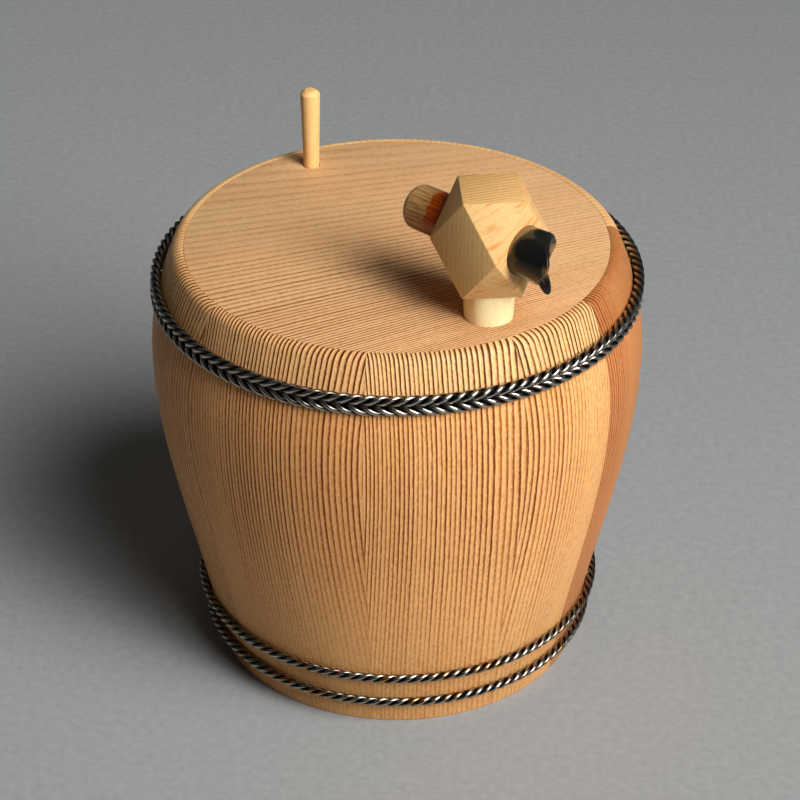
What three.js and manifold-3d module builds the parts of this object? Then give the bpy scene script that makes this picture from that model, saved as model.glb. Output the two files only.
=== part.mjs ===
// A coopered cedar tea caddy in the shape of a small cask, with twisted wire hoops, a lift-off lid,
// a vent peg and a faceted tap with a horn spout. Millimetres, +Z up, origin at the centre of the
// foot, where the cask stands. The +X axis runs to the right and -Y towards the front.
import * as THREE from "three";
import { ConvexGeometry } from "three/addons/geometries/ConvexGeometry.js";
import { mergeVertices } from "three/addons/utils/BufferGeometryUtils.js";
import Module from "manifold-3d";

// Cask: heights above the foot and radii of the outside.
const CASK_HEIGHT = 72.1;
const FOOT_RADIUS = 30;
const BELLY_RADIUS = 39.2;
const BELLY_LEVEL = 0.749; // height of the belly as a share of the whole
const RIM_RADIUS = 35; // where the side would meet the flat top if the edge were sharp
const RIM_ROUNDING = 1.9;
const FOOT_FLARE = 0.12; // outward slope of the side at the foot
const WALL = 4.2; // stave thickness at the foot
const MOUTH_RADIUS = 32.7; // bore of the mouth, and of the lid that was cut from the same cask
const LID_HEIGHT = 6.3; // from the seam to the top
const PROFILE_STEPS = 9;

// Staves: the azimuth of the first joint and the width of each stave, in degrees, all the way round.
const FIRST_JOINT = -143.5;
const STAVE_WIDTHS = [46, 37.5, 27, 41, 44, 38, 43, 36, 47.5];
const JOINT_GAP = 0.3;

// Base board, held in a groove round the inside of the staves.
const BASE_THICKNESS = 4;
const BASE_RECESS = 4; // from the foot up to the underside
const GROOVE_DEPTH = 1.4;

// Lid board, flush with the rim, resting on a ledge in the lid staves.
const BOARD_THICKNESS = 3;
const BOARD_RADIUS = 33.35;

// Seat collar, glued in the mouth, which the lid slides over.
const COLLAR_THICKNESS = 1.4;
const COLLAR_SEATED = 6; // below the seam
const COLLAR_CLEARANCE = 0.5; // from its top to the underside of the lid board

// Wire hoops.
const UPPER_ROPE_RADIUS = 0.86;
const LOWER_ROPE_RADIUS = 0.75;
const LOWER_HOOP_HEIGHTS = [10.5, 5.05];
const HOOP_SEAT_DEPTH = 0.165; // how deep the band for the upper ropes is turned at the seam
const HOOP_SEAT_DROP = 1.95; // how far the band runs below the seam
const HOOP_GAP = 0.12;

// Vent peg.
const PEG_AZIMUTH = 119.2;
const PEG_INSET = 3.8; // from the bore of the mouth in to the axis
const PEG_HEIGHT = 13.7; // above the lid board
const PEG_TOP_RADIUS = 1.6;
const PEG_FOOT_RADIUS = 1.2;
const PEG_CHAMFER = 0.35;
const PEG_BELOW = 1; // below the lid board

// Tap: a round post, a faceted block and a horn that runs through the block.
const TAP_AZIMUTH = -58.1;
const TAP_INSET = 6.5; // from the bore of the mouth in to the axis
const SPOUT_AZIMUTH = -41.1;
const POST_HEIGHT = 5.4; // from the lid board to the block
const POST_RADIUS = 3.95;
const POST_FOOT_RADIUS = 3.8;
const POST_BELOW = 1.5; // below the lid board
const TENON_RADIUS = 2.4;
const TENON_LENGTH = 3;
const BLOCK_HEIGHT = 16.1;
const BLOCK_HALF_WIDTH = 6.39; // from the axis to the face that the horn comes out of
const HORN_REAR_RADIUS = 3.5;
const HORN_FRONT_RADIUS = 3.8;
const HORN_REAR = 8.6; // how far the horn stands out behind the block
const HORN_REAR_ROUNDING = 1.3;
const SPOUT_LENGTH = 5.9; // how far it stands out in front
const SPOUT_FLARE = 0.35; // extra radius at its mouth
const SPOUT_NOSE_ROUNDING = 1.9;
const SPOUT_HOLLOW = 1.5; // how far the end face is scooped back
const TONGUE_WIDTH = 3;
const TONGUE_DROP = 2.1; // below the front radius of the horn

// Clearances.
const FIT_GAP = 0.3; // glued and pushed-in fits, and the two halves of the seam
const TURN_GAP = 0.25; // the post and the peg in their holes

const CASK_SEGMENTS = 48;
const SMALL_SEGMENTS = 24;
const ROPE_SIDES = 8;

const wasm = await Module();
wasm.setup();
const radians = THREE.MathUtils.degToRad;
const bellyHeight = CASK_HEIGHT * BELLY_LEVEL;
const seamHeight = CASK_HEIGHT - LID_HEIGHT;

// Booleans: a closed three.js geometry becomes a solid, and a solid becomes a geometry again.
function solidOf(geometry) {
  const bare = geometry.clone();
  bare.deleteAttribute("normal");
  bare.deleteAttribute("uv");
  const merged = mergeVertices(bare, 1e-4);
  return new wasm.Manifold(
    new wasm.Mesh({
      numProp: 3,
      vertProperties: merged.getAttribute("position").array,
      triVerts: new Uint32Array(merged.index.array),
    }),
  );
}

function geometryOf(solid) {
  const mesh = solid.getMesh();
  const geometry = new THREE.BufferGeometry();
  geometry.setAttribute("position", new THREE.BufferAttribute(mesh.vertProperties, 3));
  geometry.setIndex(new THREE.BufferAttribute(mesh.triVerts, 1));
  geometry.computeVertexNormals();
  return geometry;
}

// Turned pieces: a profile of [radius, height] pairs, taken anticlockwise, spun about +Z.
function turned(profile, segments) {
  const points = profile.map(([radius, height]) => new THREE.Vector2(radius, height));
  return new THREE.LatheGeometry(points, segments).rotateX(Math.PI / 2);
}

const closed = (profile) => [...profile, profile[0]];
const rod = (radius, bottom, top, segments) =>
  turned([[0, bottom], [radius, bottom], [radius, top], [0, top]], segments);

// The outside of the cask: a cubic from the foot out to the belly, and a parabola in to the rim.
function sideRadius(height) {
  if (height > bellyHeight) {
    const rise = (height - bellyHeight) / (CASK_HEIGHT - bellyHeight);
    return BELLY_RADIUS - (BELLY_RADIUS - RIM_RADIUS) * rise ** 2;
  }
  const fall = (bellyHeight - height) / bellyHeight;
  const swell = (BELLY_RADIUS - FOOT_RADIUS) * (3 * fall ** 2 - 2 * fall ** 3);
  return BELLY_RADIUS - swell + FOOT_FLARE * bellyHeight * (fall ** 2 - fall ** 3);
}

const innerRadius = (height) => Math.min(MOUTH_RADIUS, sideRadius(height) - WALL);

function heightsBetween(low, high, steps) {
  return Array.from({ length: steps + 1 }, (_, i) => THREE.MathUtils.lerp(low, high, i / steps));
}

// One solid per stave: the whole shell cut by a wedge that keeps half a joint gap on each side.
function wedge(from, to) {
  const halfAngle = radians(to - from) / 2;
  const middle = radians(from + to) / 2;
  const reach = 3 * BELLY_RADIUS;
  const apex = JOINT_GAP / 2 / Math.sin(halfAngle);
  const corner = new THREE.Vector2(Math.cos(middle), Math.sin(middle)).multiplyScalar(apex);
  const along = (angle) => corner.clone().add(
    new THREE.Vector2(Math.cos(angle), Math.sin(angle)).multiplyScalar(reach),
  );
  const outline = new THREE.Shape([corner, along(middle - halfAngle), along(middle + halfAngle)]);
  return new THREE.ExtrudeGeometry(outline, { depth: 2 * CASK_HEIGHT, bevelEnabled: false })
    .translate(0, 0, -CASK_HEIGHT / 2);
}

function staves(name, shell, colour, group) {
  const whole = solidOf(shell);
  let from = FIRST_JOINT;
  STAVE_WIDTHS.forEach((width, i) => {
    const stave = whole.intersect(solidOf(wedge(from, from + width)));
    group.add(piece(`${name}_${i + 1}`, geometryOf(stave), colour, 0.7, 0));
    from += width;
  });
}

function piece(name, geometry, colour, roughness, metalness) {
  const material = new THREE.MeshStandardMaterial({ color: colour, roughness, metalness });
  const mesh = new THREE.Mesh(geometry, material);
  mesh.name = name;
  return mesh;
}

const CEDAR = 0xc98f58;
const BOARD_CEDAR = 0xc79a6c;
const PALE_WOOD = 0xe8bd84;
const DARK_SILVER = 0x4a4640;
const HORN = 0x2a211a;

const caddy = new THREE.Group();
const lid = new THREE.Group();
caddy.add(lid);

// Body staves, with the groove for the base board.
const baseTop = BASE_RECESS + BASE_THICKNESS;
const boardLow = CASK_HEIGHT - BOARD_THICKNESS;
const hoopSeatRadius = sideRadius(seamHeight) - HOOP_SEAT_DEPTH;
const bodyTop = seamHeight - FIT_GAP / 2;
const seatBottom = seamHeight - HOOP_SEAT_DROP;
const grooveRadius = innerRadius(BASE_RECESS + BASE_THICKNESS / 2) + GROOVE_DEPTH;

function bodyShell() {
  const grooveLow = BASE_RECESS - FIT_GAP / 2;
  const grooveHigh = baseTop + FIT_GAP / 2;
  const outside = heightsBetween(0, seatBottom, PROFILE_STEPS).map((z) => [sideRadius(z), z]);
  const inside = heightsBetween(bodyTop, grooveHigh, PROFILE_STEPS).map((z) => [innerRadius(z), z]);
  return turned(closed([
    ...outside,
    [hoopSeatRadius, seatBottom],
    [hoopSeatRadius, bodyTop],
    ...inside,
    [grooveRadius, grooveHigh],
    [grooveRadius, grooveLow],
    [innerRadius(grooveLow), grooveLow],
    [innerRadius(0), 0],
  ]), CASK_SEGMENTS);
}
staves("body_stave", bodyShell(), CEDAR, caddy);

// Base board, let into the groove.
const baseBoard = rod(grooveRadius - FIT_GAP, BASE_RECESS, baseTop, CASK_SEGMENTS);
caddy.add(piece("base_board", baseBoard, BOARD_CEDAR, 0.75, 0));

// Seat collar, a thin ring that stands up out of the mouth.
const collarOuter = MOUTH_RADIUS - FIT_GAP;
const collarInner = collarOuter - COLLAR_THICKNESS;
const collarLow = seamHeight - COLLAR_SEATED;
const collarHigh = boardLow - COLLAR_CLEARANCE;
const collar = turned(closed([
  [collarOuter, collarLow],
  [collarOuter, collarHigh],
  [collarInner, collarHigh],
  [collarInner, collarLow],
]), CASK_SEGMENTS);
caddy.add(piece("seat_collar", collar, BOARD_CEDAR, 0.7, 0));

// Lid staves, with a rounded rim and the rebate for the lid board.
const lidBottom = seamHeight + FIT_GAP / 2;

function rimArc() {
  // A round that touches the flat top and the straight line of the side's last few millimetres.
  const slope = (2 * (BELLY_RADIUS - RIM_RADIUS)) / (CASK_HEIGHT - bellyHeight);
  const lean = Math.atan(slope);
  const steps = 4;
  const sweep = Math.PI / 2 - lean;
  const centre = RIM_RADIUS - RIM_ROUNDING * Math.tan(sweep / 2);
  return heightsBetween(0, sweep, steps).map((turn) => [
    centre + RIM_ROUNDING * Math.cos(lean + turn),
    CASK_HEIGHT - RIM_ROUNDING + RIM_ROUNDING * Math.sin(lean + turn),
  ]);
}

function lidShell() {
  const arc = rimArc();
  const rebate = BOARD_RADIUS + FIT_GAP;
  const ledge = boardLow - FIT_GAP;
  const outside = heightsBetween(lidBottom, arc[0][1], 3)
    .slice(0, -1)
    .map((z) => [Math.min(hoopSeatRadius, sideRadius(z)), z]);
  return turned(closed([
    ...outside,
    ...arc,
    [rebate, CASK_HEIGHT],
    [rebate, ledge],
    [MOUTH_RADIUS, ledge],
    [MOUTH_RADIUS, lidBottom],
  ]), CASK_SEGMENTS);
}
staves("lid_stave", lidShell(), CEDAR, lid);

// Where the tap and the peg stand on the lid board.
function onBoard(azimuth, distance) {
  const angle = radians(azimuth);
  return new THREE.Vector3(distance * Math.cos(angle), distance * Math.sin(angle), CASK_HEIGHT);
}
const pegPlace = onBoard(PEG_AZIMUTH, MOUTH_RADIUS - PEG_INSET);
const tapPlace = onBoard(TAP_AZIMUTH, MOUTH_RADIUS - TAP_INSET);

// Lid board, with the holes for the post and the peg. The peg tapers, so its hole fits the deck.
const pegTaper = (PEG_TOP_RADIUS - PEG_FOOT_RADIUS) / (PEG_HEIGHT + BOARD_THICKNESS + PEG_BELOW);
const pegDeckRadius = PEG_FOOT_RADIUS + pegTaper * (BOARD_THICKNESS + PEG_BELOW);

function hole(place, radius) {
  return solidOf(
    rod(radius, -2 * BOARD_THICKNESS, BOARD_THICKNESS, SMALL_SEGMENTS)
      .translate(place.x, place.y, place.z),
  );
}
const lidBoard = solidOf(rod(BOARD_RADIUS, boardLow, CASK_HEIGHT, CASK_SEGMENTS))
  .subtract(hole(tapPlace, POST_FOOT_RADIUS + TURN_GAP))
  .subtract(hole(pegPlace, pegDeckRadius + TURN_GAP));
lid.add(piece("lid_board", geometryOf(lidBoard), BOARD_CEDAR, 0.75, 0));

// Hoops: plain rings of the ropes' outer size. The upper pair touch at the seam, one on each half.
function hoop(name, centre, ropeRadius, height, group) {
  const section = Array.from({ length: ROPE_SIDES }, (_, i) => {
    const turn = ((i + 0.5) / ROPE_SIDES) * 2 * Math.PI;
    return [centre + ropeRadius * Math.cos(turn), height + ropeRadius * Math.sin(turn)];
  });
  const ring = turned(closed(section), CASK_SEGMENTS);
  group.add(piece(name, ring, DARK_SILVER, 0.35, 1));
}
const upperCentre = hoopSeatRadius + HOOP_GAP + UPPER_ROPE_RADIUS;
const upperOffset = UPPER_ROPE_RADIUS + FIT_GAP / 8;
hoop("upper_hoop_lid_rope", upperCentre, UPPER_ROPE_RADIUS, seamHeight + upperOffset, lid);
hoop("upper_hoop_body_rope", upperCentre, UPPER_ROPE_RADIUS, seamHeight - upperOffset, caddy);

// A lower rope rests square against the side, which leans out above it.
LOWER_HOOP_HEIGHTS.forEach((height, i) => {
  const slope = (sideRadius(height + LOWER_ROPE_RADIUS) - sideRadius(height)) / LOWER_ROPE_RADIUS;
  const centre = sideRadius(height) + (HOOP_GAP + LOWER_ROPE_RADIUS) * Math.hypot(1, slope);
  hoop(`lower_hoop_rope_${i + 1}`, centre, LOWER_ROPE_RADIUS, height, caddy);
});

// Vent peg, thinner towards its foot.
const peg = new THREE.Group();
peg.position.copy(pegPlace);
lid.add(peg);
const pegLow = -(BOARD_THICKNESS + PEG_BELOW);
peg.add(piece("vent_peg", turned([
  [0, pegLow],
  [PEG_FOOT_RADIUS, pegLow],
  [PEG_TOP_RADIUS, PEG_HEIGHT - PEG_CHAMFER],
  [PEG_TOP_RADIUS - PEG_CHAMFER, PEG_HEIGHT],
  [0, PEG_HEIGHT],
], SMALL_SEGMENTS), PALE_WOOD, 0.6, 0));

// Tap, in its own frame: +X along the spout, origin at the post's axis on the lid board.
const tap = new THREE.Group();
tap.position.copy(tapPlace);
tap.rotation.z = radians(SPOUT_AZIMUTH);
lid.add(tap);
const postTop = POST_HEIGHT - FIT_GAP;
tap.add(piece("tap_post", turned([
  [0, -BOARD_THICKNESS - POST_BELOW],
  [POST_FOOT_RADIUS, -BOARD_THICKNESS - POST_BELOW],
  [POST_FOOT_RADIUS, 0],
  [POST_RADIUS, postTop],
  [TENON_RADIUS, postTop],
  [TENON_RADIUS, postTop + TENON_LENGTH],
  [0, postTop + TENON_LENGTH],
], SMALL_SEGMENTS), PALE_WOOD, 0.6, 0));

// Block: four diamond faces, eight triangles and a square at each end, bored for horn and tenon.
const blockMiddle = POST_HEIGHT + BLOCK_HEIGHT / 2;

function blockCorners() {
  const corners = [];
  for (let quarter = 0; quarter < 4; quarter += 1) {
    const turn = (quarter * Math.PI) / 2;
    const end = [BLOCK_HALF_WIDTH * Math.cos(turn), BLOCK_HALF_WIDTH * Math.sin(turn)];
    corners.push(new THREE.Vector3(end[0], end[1], POST_HEIGHT));
    corners.push(new THREE.Vector3(end[0], end[1], POST_HEIGHT + BLOCK_HEIGHT));
    corners.push(new THREE.Vector3(end[0] - end[1], end[0] + end[1], blockMiddle));
  }
  return corners;
}

// The horn's own frame has +X forwards along the horn and the origin at the block's middle.
const alongHorn = (geometry) => geometry.rotateY(Math.PI / 2).translate(0, 0, blockMiddle);
const hornBore = alongHorn(rod(
  HORN_FRONT_RADIUS + FIT_GAP,
  -2 * BLOCK_HALF_WIDTH,
  2 * BLOCK_HALF_WIDTH,
  SMALL_SEGMENTS,
));
const mortise = rod(
  TENON_RADIUS + FIT_GAP,
  POST_HEIGHT - BLOCK_HEIGHT,
  POST_HEIGHT + TENON_LENGTH,
  SMALL_SEGMENTS,
);
const block = solidOf(new ConvexGeometry(blockCorners()))
  .subtract(solidOf(hornBore))
  .subtract(solidOf(mortise));
tap.add(piece("tap_block", geometryOf(block), PALE_WOOD, 0.6, 0));

// Horn: a tapered rod, its front end scooped to an S in side view, with a tongue below.
const hornFront = BLOCK_HALF_WIDTH + SPOUT_LENGTH;
const mouthRadius = HORN_FRONT_RADIUS + SPOUT_FLARE;
const scooped = hornFront - SPOUT_HOLLOW;

function sideCut(drawOutline, width) {
  const outline = new THREE.Shape();
  drawOutline(outline);
  return new THREE.ExtrudeGeometry(outline, { depth: width, bevelEnabled: false, curveSegments: 5 })
    .translate(0, 0, -width / 2)
    .rotateX(Math.PI / 2)
    .translate(0, 0, blockMiddle);
}

function hornRod() {
  const back = -(BLOCK_HALF_WIDTH + HORN_REAR);
  const round = HORN_REAR_ROUNDING;
  const roundedEnd = heightsBetween(0, Math.PI / 2, 3).map((turn) => [
    HORN_REAR_RADIUS - round + round * Math.sin(turn),
    back + round - round * Math.cos(turn),
  ]);
  return alongHorn(turned([
    [0, back],
    ...roundedEnd,
    [HORN_FRONT_RADIUS, BLOCK_HALF_WIDTH],
    [mouthRadius, hornFront],
    [0, hornFront],
  ], SMALL_SEGMENTS));
}

const endCut = sideCut((outline) => {
  const beyond = 2 * hornFront;
  outline.moveTo(-beyond, -beyond);
  outline.lineTo(scooped, -beyond);
  outline.lineTo(scooped, -HORN_FRONT_RADIUS / 2);
  outline.quadraticCurveTo(scooped, 0, hornFront, mouthRadius - SPOUT_NOSE_ROUNDING);
  outline.quadraticCurveTo(hornFront, mouthRadius, hornFront - SPOUT_NOSE_ROUNDING, mouthRadius);
  outline.lineTo(hornFront - SPOUT_NOSE_ROUNDING, beyond);
  outline.lineTo(-beyond, beyond);
}, 4 * mouthRadius);

const tongue = sideCut((outline) => {
  const root = -HORN_FRONT_RADIUS / 2;
  const tip = -(HORN_FRONT_RADIUS + TONGUE_DROP);
  outline.moveTo(scooped - SPOUT_HOLLOW, root);
  outline.lineTo(scooped, root);
  outline.quadraticCurveTo(scooped, (root + tip) / 2, scooped + SPOUT_HOLLOW / 2, tip / 2 + root);
  outline.lineTo(scooped + SPOUT_HOLLOW / 4, tip);
  outline.lineTo(scooped - SPOUT_HOLLOW / 2, tip + TONGUE_DROP / 3);
  outline.lineTo(scooped - SPOUT_HOLLOW, -HORN_FRONT_RADIUS);
}, TONGUE_WIDTH);

const horn = solidOf(hornRod()).intersect(solidOf(endCut)).add(solidOf(tongue));
tap.add(piece("horn_spout", geometryOf(horn), HORN, 0.25, 0));

export default caddy;
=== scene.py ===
import math
import bmesh
import bpy
from mathutils import Matrix, Vector


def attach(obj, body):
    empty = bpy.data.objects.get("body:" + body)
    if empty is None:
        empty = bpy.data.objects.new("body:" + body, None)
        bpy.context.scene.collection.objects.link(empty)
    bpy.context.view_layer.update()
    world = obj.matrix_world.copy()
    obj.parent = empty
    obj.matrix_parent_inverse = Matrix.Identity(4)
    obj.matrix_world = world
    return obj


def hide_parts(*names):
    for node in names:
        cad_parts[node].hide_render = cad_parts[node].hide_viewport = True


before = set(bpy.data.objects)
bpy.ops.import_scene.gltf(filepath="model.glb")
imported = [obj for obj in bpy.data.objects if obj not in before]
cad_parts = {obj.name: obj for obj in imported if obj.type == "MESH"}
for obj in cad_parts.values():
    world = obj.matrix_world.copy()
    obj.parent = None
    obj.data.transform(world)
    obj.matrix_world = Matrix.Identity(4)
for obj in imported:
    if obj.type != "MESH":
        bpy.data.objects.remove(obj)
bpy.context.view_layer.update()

# ---------------------------------------------------------------- Camera
# A long lens on a stand in front of the table, looking down at the caddy from half a metre away.
# It stands almost square to the front, so the tap and the peg show on either side of the middle.
camera_data = bpy.data.cameras.new("camera")
camera_data.lens = 135
camera_data.sensor_width = 36
camera_data.clip_start = 0.01
camera = bpy.data.objects.new("camera", camera_data)
camera.location = (0.00046, -0.4104, 0.3058)
camera.rotation_euler = (math.radians(57.3), 0, 0)
bpy.context.collection.objects.link(camera)
bpy.context.scene.camera = camera
bpy.context.scene.view_settings.view_transform = "Standard"

# ---------------------------------------------------------------- Staves of the cask and its lid
# Nine quarter-sawn cedar staves, glued edge to edge and turned outside to the shape of a small cask. The
# lid was sawn off its top, so each lid stave carries on the grain of the one below. A groove inside holds
# the base, and a shallow band turned at the seam seats the top hoop.
MM = 0.001
CASK_HEIGHT = 72.1
FOOT_RADIUS = 30.0
BELLY_RADIUS = 39.2
BELLY_HEIGHT = 54.0
RIM_RADIUS = 35.0
RIM_ROUNDING = 1.9
FOOT_FLARE = 0.12
FOOT_ROUNDING = 0.25
WALL = 4.2
MOUTH_RADIUS = 32.7
SEAM_HEIGHT = 65.8
SEAM_GAP = 0.1
SEAM_LIP = 0.15
HOOP_SEAT_RADIUS = 37.25
HOOP_SEAT_DROP = 1.95
BASE_LOW = 4.0
BASE_HIGH = 8.0
GROOVE_DEPTH = 1.4
GROOVE_GAP = 0.05
BOARD_THICKNESS = 3.0
BOARD_RADIUS = 33.5
BOARD_GAP = 0.04
FIRST_JOINT = -143.5
STAVE_WIDTHS = [46, 37.5, 27, 41, 44, 38, 43, 36, 47.5]
JOINT_ANGLE = 0.05
STAVE_STEP = 1.5
ROUNDING_STEPS = 3


def side_radius(height):
    """Outside radius of the cask at a height above the table."""
    if height > BELLY_HEIGHT:
        rise = (height - BELLY_HEIGHT) / (CASK_HEIGHT - BELLY_HEIGHT)
        return BELLY_RADIUS - (BELLY_RADIUS - RIM_RADIUS) * rise**2
    fall = (BELLY_HEIGHT - height) / BELLY_HEIGHT
    swell = (BELLY_RADIUS - FOOT_RADIUS) * (3 * fall**2 - 2 * fall**3)
    return BELLY_RADIUS - swell + FOOT_FLARE * BELLY_HEIGHT * (fall**2 - fall**3)


def inner_radius(height):
    """Bore of the cask at a height above the table."""
    return min(MOUTH_RADIUS, side_radius(height) - WALL)


def steps(low, high, count):
    """Evenly spaced numbers from low to high, both ends included."""
    return [low + (high - low) * i / count for i in range(count + 1)]


def arc(centre, radius, start, end, count):
    """Points round an arc, with angles in degrees from the outward direction."""
    turns = [math.radians(a) for a in steps(start, end, count)]
    return [(centre[0] + radius * math.cos(a), centre[1] + radius * math.sin(a)) for a in turns]


def body_profile():
    """Section of a body stave from the foot up the outside, over the seam and down the bore."""
    lip = SEAM_LIP
    seat_low = SEAM_HEIGHT - HOOP_SEAT_DROP
    top = SEAM_HEIGHT - SEAM_GAP / 2
    foot = arc((side_radius(0) - FOOT_ROUNDING, FOOT_ROUNDING), FOOT_ROUNDING, -90, 0, ROUNDING_STEPS)
    outside = [(side_radius(z), z) for z in steps(2 * FOOT_ROUNDING, seat_low - lip, 52)]
    shoulder = arc((side_radius(seat_low) - lip, seat_low - lip), lip, 20, 90, ROUNDING_STEPS)
    seat = [(HOOP_SEAT_RADIUS, seat_low)]
    seat += arc((HOOP_SEAT_RADIUS - lip, top - lip), lip, 0, 90, ROUNDING_STEPS)
    mouth = arc((MOUTH_RADIUS + lip, top - lip), lip, 90, 180, ROUNDING_STEPS)
    inside = [(inner_radius(z), z) for z in steps(top - 2 * lip, BASE_HIGH + GROOVE_GAP, 24)]
    groove = inner_radius((BASE_LOW + BASE_HIGH) / 2) + GROOVE_DEPTH
    low = BASE_LOW - GROOVE_GAP
    under = [(groove, BASE_HIGH + GROOVE_GAP), (groove, low), (inner_radius(low), low), (inner_radius(0), 0)]
    return foot + outside + shoulder + seat + mouth + inside + under


def lid_profile():
    """Section of a lid stave from the seam up the outside, over the rim and down to the board's ledge."""
    lip = SEAM_LIP
    bottom = SEAM_HEIGHT + SEAM_GAP / 2
    lean = math.atan(2 * (BELLY_RADIUS - RIM_RADIUS) / (CASK_HEIGHT - BELLY_HEIGHT))
    sweep = math.pi / 2 - lean
    centre = (RIM_RADIUS - RIM_ROUNDING * math.tan(sweep / 2), CASK_HEIGHT - RIM_ROUNDING)
    rim = arc(centre, RIM_ROUNDING, math.degrees(lean), 90, 12)
    outside = arc((HOOP_SEAT_RADIUS - lip, bottom + lip), lip, -90, 0, ROUNDING_STEPS)
    heights = steps(bottom + 2 * lip, rim[0][1], 8)[:-1]
    outside += [(min(HOOP_SEAT_RADIUS, side_radius(z)), z) for z in heights]
    rebate = BOARD_RADIUS + BOARD_GAP
    ledge = CASK_HEIGHT - BOARD_THICKNESS - BOARD_GAP
    inside = [(rebate, CASK_HEIGHT), (rebate, ledge), (MOUTH_RADIUS, ledge)]
    inside += arc((MOUTH_RADIUS + lip, bottom + lip), lip, 180, 270, ROUNDING_STEPS)
    return outside + rim + inside


def spun(profile, start, angle, count):
    """A profile of (radius, height) pairs spun about the upright axis. A full turn is closed up."""
    shape = bmesh.new()
    turn = Matrix.Rotation(math.radians(start), 3, "Z")
    corners = [shape.verts.new(turn @ Vector((r, 0, z))) for r, z in profile]
    whole = angle >= 360
    if whole:
        section = [shape.edges.new((a, b)) for a, b in zip(corners, corners[1:])]
        if profile[0][0] > 0:
            section.append(shape.edges.new((corners[-1], corners[0])))
        section = corners + section
    else:
        section = [shape.faces.new(corners)]
    bmesh.ops.spin(shape, geom=section, cent=(0, 0, 0), axis=(0, 0, 1), dvec=(0, 0, 0),
                   angle=math.radians(angle), steps=count, use_merge=whole, use_duplicate=False)
    bmesh.ops.remove_doubles(shape, verts=shape.verts, dist=1e-4)
    bmesh.ops.recalc_face_normals(shape, faces=shape.faces)
    return shape


def made_piece(name, shape, material, body, nodes, crease=30):
    """Turns a shape in millimetres into a piece in place, and says what it stands for."""
    bmesh.ops.scale(shape, vec=(MM, MM, MM), verts=shape.verts)
    for edge in shape.edges:
        edge.smooth = len(edge.link_faces) < 2 or edge.calc_face_angle() < math.radians(crease)
    for face in shape.faces:
        face.smooth = True
    mesh = bpy.data.meshes.new(name)
    shape.to_mesh(mesh)
    shape.free()
    mesh.materials.append(material)
    piece = bpy.data.objects.new(name, mesh)
    bpy.context.collection.objects.link(piece)
    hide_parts(*nodes)
    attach(piece, body)


def colour(red, green, blue):
    """A colour picked in ordinary 0 to 255 values, as the shader wants it."""
    shares = [c / 255 for c in (red, green, blue)]
    return tuple(c / 12.92 if c < 0.04045 else ((c + 0.055) / 1.055) ** 2.4 for c in shares) + (1.0,)


def new_material(name):
    """An empty material with one shader: the material, its node tree and the shader."""
    material = bpy.data.materials.new(name)
    material.use_nodes = True
    tree = material.node_tree
    tree.nodes.clear()
    shader = tree.nodes.new("ShaderNodeBsdfPrincipled")
    surface = tree.nodes.new("ShaderNodeOutputMaterial")
    tree.links.new(shader.outputs[0], surface.inputs["Surface"])
    return material, tree, shader


def node(tree, kind, inputs, **settings):
    """A shader node; a value that is a socket is linked, and any other is set."""
    made = tree.nodes.new("ShaderNode" + kind)
    for name, value in settings.items():
        setattr(made, name, value)
    for name, value in inputs.items():
        if isinstance(value, bpy.types.NodeSocket):
            tree.links.new(value, made.inputs[name])
        else:
            made.inputs[name].default_value = value
    return made


def sums(tree, operation, first, second=0.0, third=0.0):
    """One step of arithmetic on up to three values."""
    return node(tree, "Math", {0: first, 1: second, 2: third}, operation=operation).outputs[0]


def noise(tree, place, scales, detail, seed):
    """Noise from 0 to 1 on a place in millimetres, with its own fineness per millimetre each way."""
    spot = node(tree, "VectorMath", {0: place, 1: scales}, operation="MULTIPLY").outputs[0]
    return node(tree, "TexNoise", {"Vector": spot, "W": seed, "Scale": 1.0, "Detail": detail},
                noise_dimensions="4D").outputs[0]


def ramp(tree, share, stops):
    """A colour ramp; a stop is (place, colour), and a plain number makes a grey."""
    made = node(tree, "ValToRGB", {0: share})
    band = made.color_ramp
    while len(band.elements) < len(stops):
        band.elements.new(0.5)
    for element, (place, shade) in zip(band.elements, stops):
        element.position = place
        element.color = shade if isinstance(shade, tuple) else (shade, shade, shade, 1.0)
    return made.outputs[0]


def mixed(tree, share, first, second, blend="MIX"):
    """Two colours blended, with a share of the second."""
    return node(tree, "Mix", {0: share, 6: first, 7: second},
                data_type="RGBA", blend_type=blend).outputs[2]


def faded(tree, value, start, end, low, high):
    """A value eased from low at start to high at end."""
    return node(tree, "MapRange", {0: value, 1: start, 2: end, 3: low, 4: high},
                interpolation_type="SMOOTHSTEP").outputs[0]


def wood_frame(tree, outward, across, along, centre=(0, 0, 0)):
    """Object coordinates in millimetres, turned so X is outward, Y across the rings, Z along them."""
    rows = Matrix((outward, across, along))
    spot = node(tree, "TexCoord", {}).outputs["Object"]
    shift = -(rows @ Vector(centre))
    return node(tree, "Mapping", {"Vector": spot, "Location": shift, "Rotation": rows.to_euler(),
                                  "Scale": (1 / MM, 1 / MM, 1 / MM)}, vector_type="POINT").outputs[0]


# How the rings stray from straight, even lines: by how many rings, how finely each way per millimetre,
# with how much detail, and which seed.
STRAYING = (
    (5.0, (0.01, 0.03, 0.004), 1.0, 0),
    (0.35, (0.2, 0.4, 0.05), 2.0, 3),
    (1.6, (0.0, 0.12, 0.0), 1.0, 2),
    (0.2, (0.5, 1.1, 0.45), 3.0, 4),
)
# How dark the wood is through one year's growth, from spring to winter.
YEAR_DARKNESS = [(0.0, 0.15), (0.05, 0.0), (0.34, 0.06), (0.58, 0.34), (0.74, 0.92), (0.92, 1.0), (1.0, 0.3)]
# How high up the painted shade at the foot of the staves reaches, in millimetres.
PAINTED_SHADE_HEIGHT = 30.0
RED_BLUSH = colour(224, 140, 72)
RED_FLAME = colour(250, 180, 128)


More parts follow.
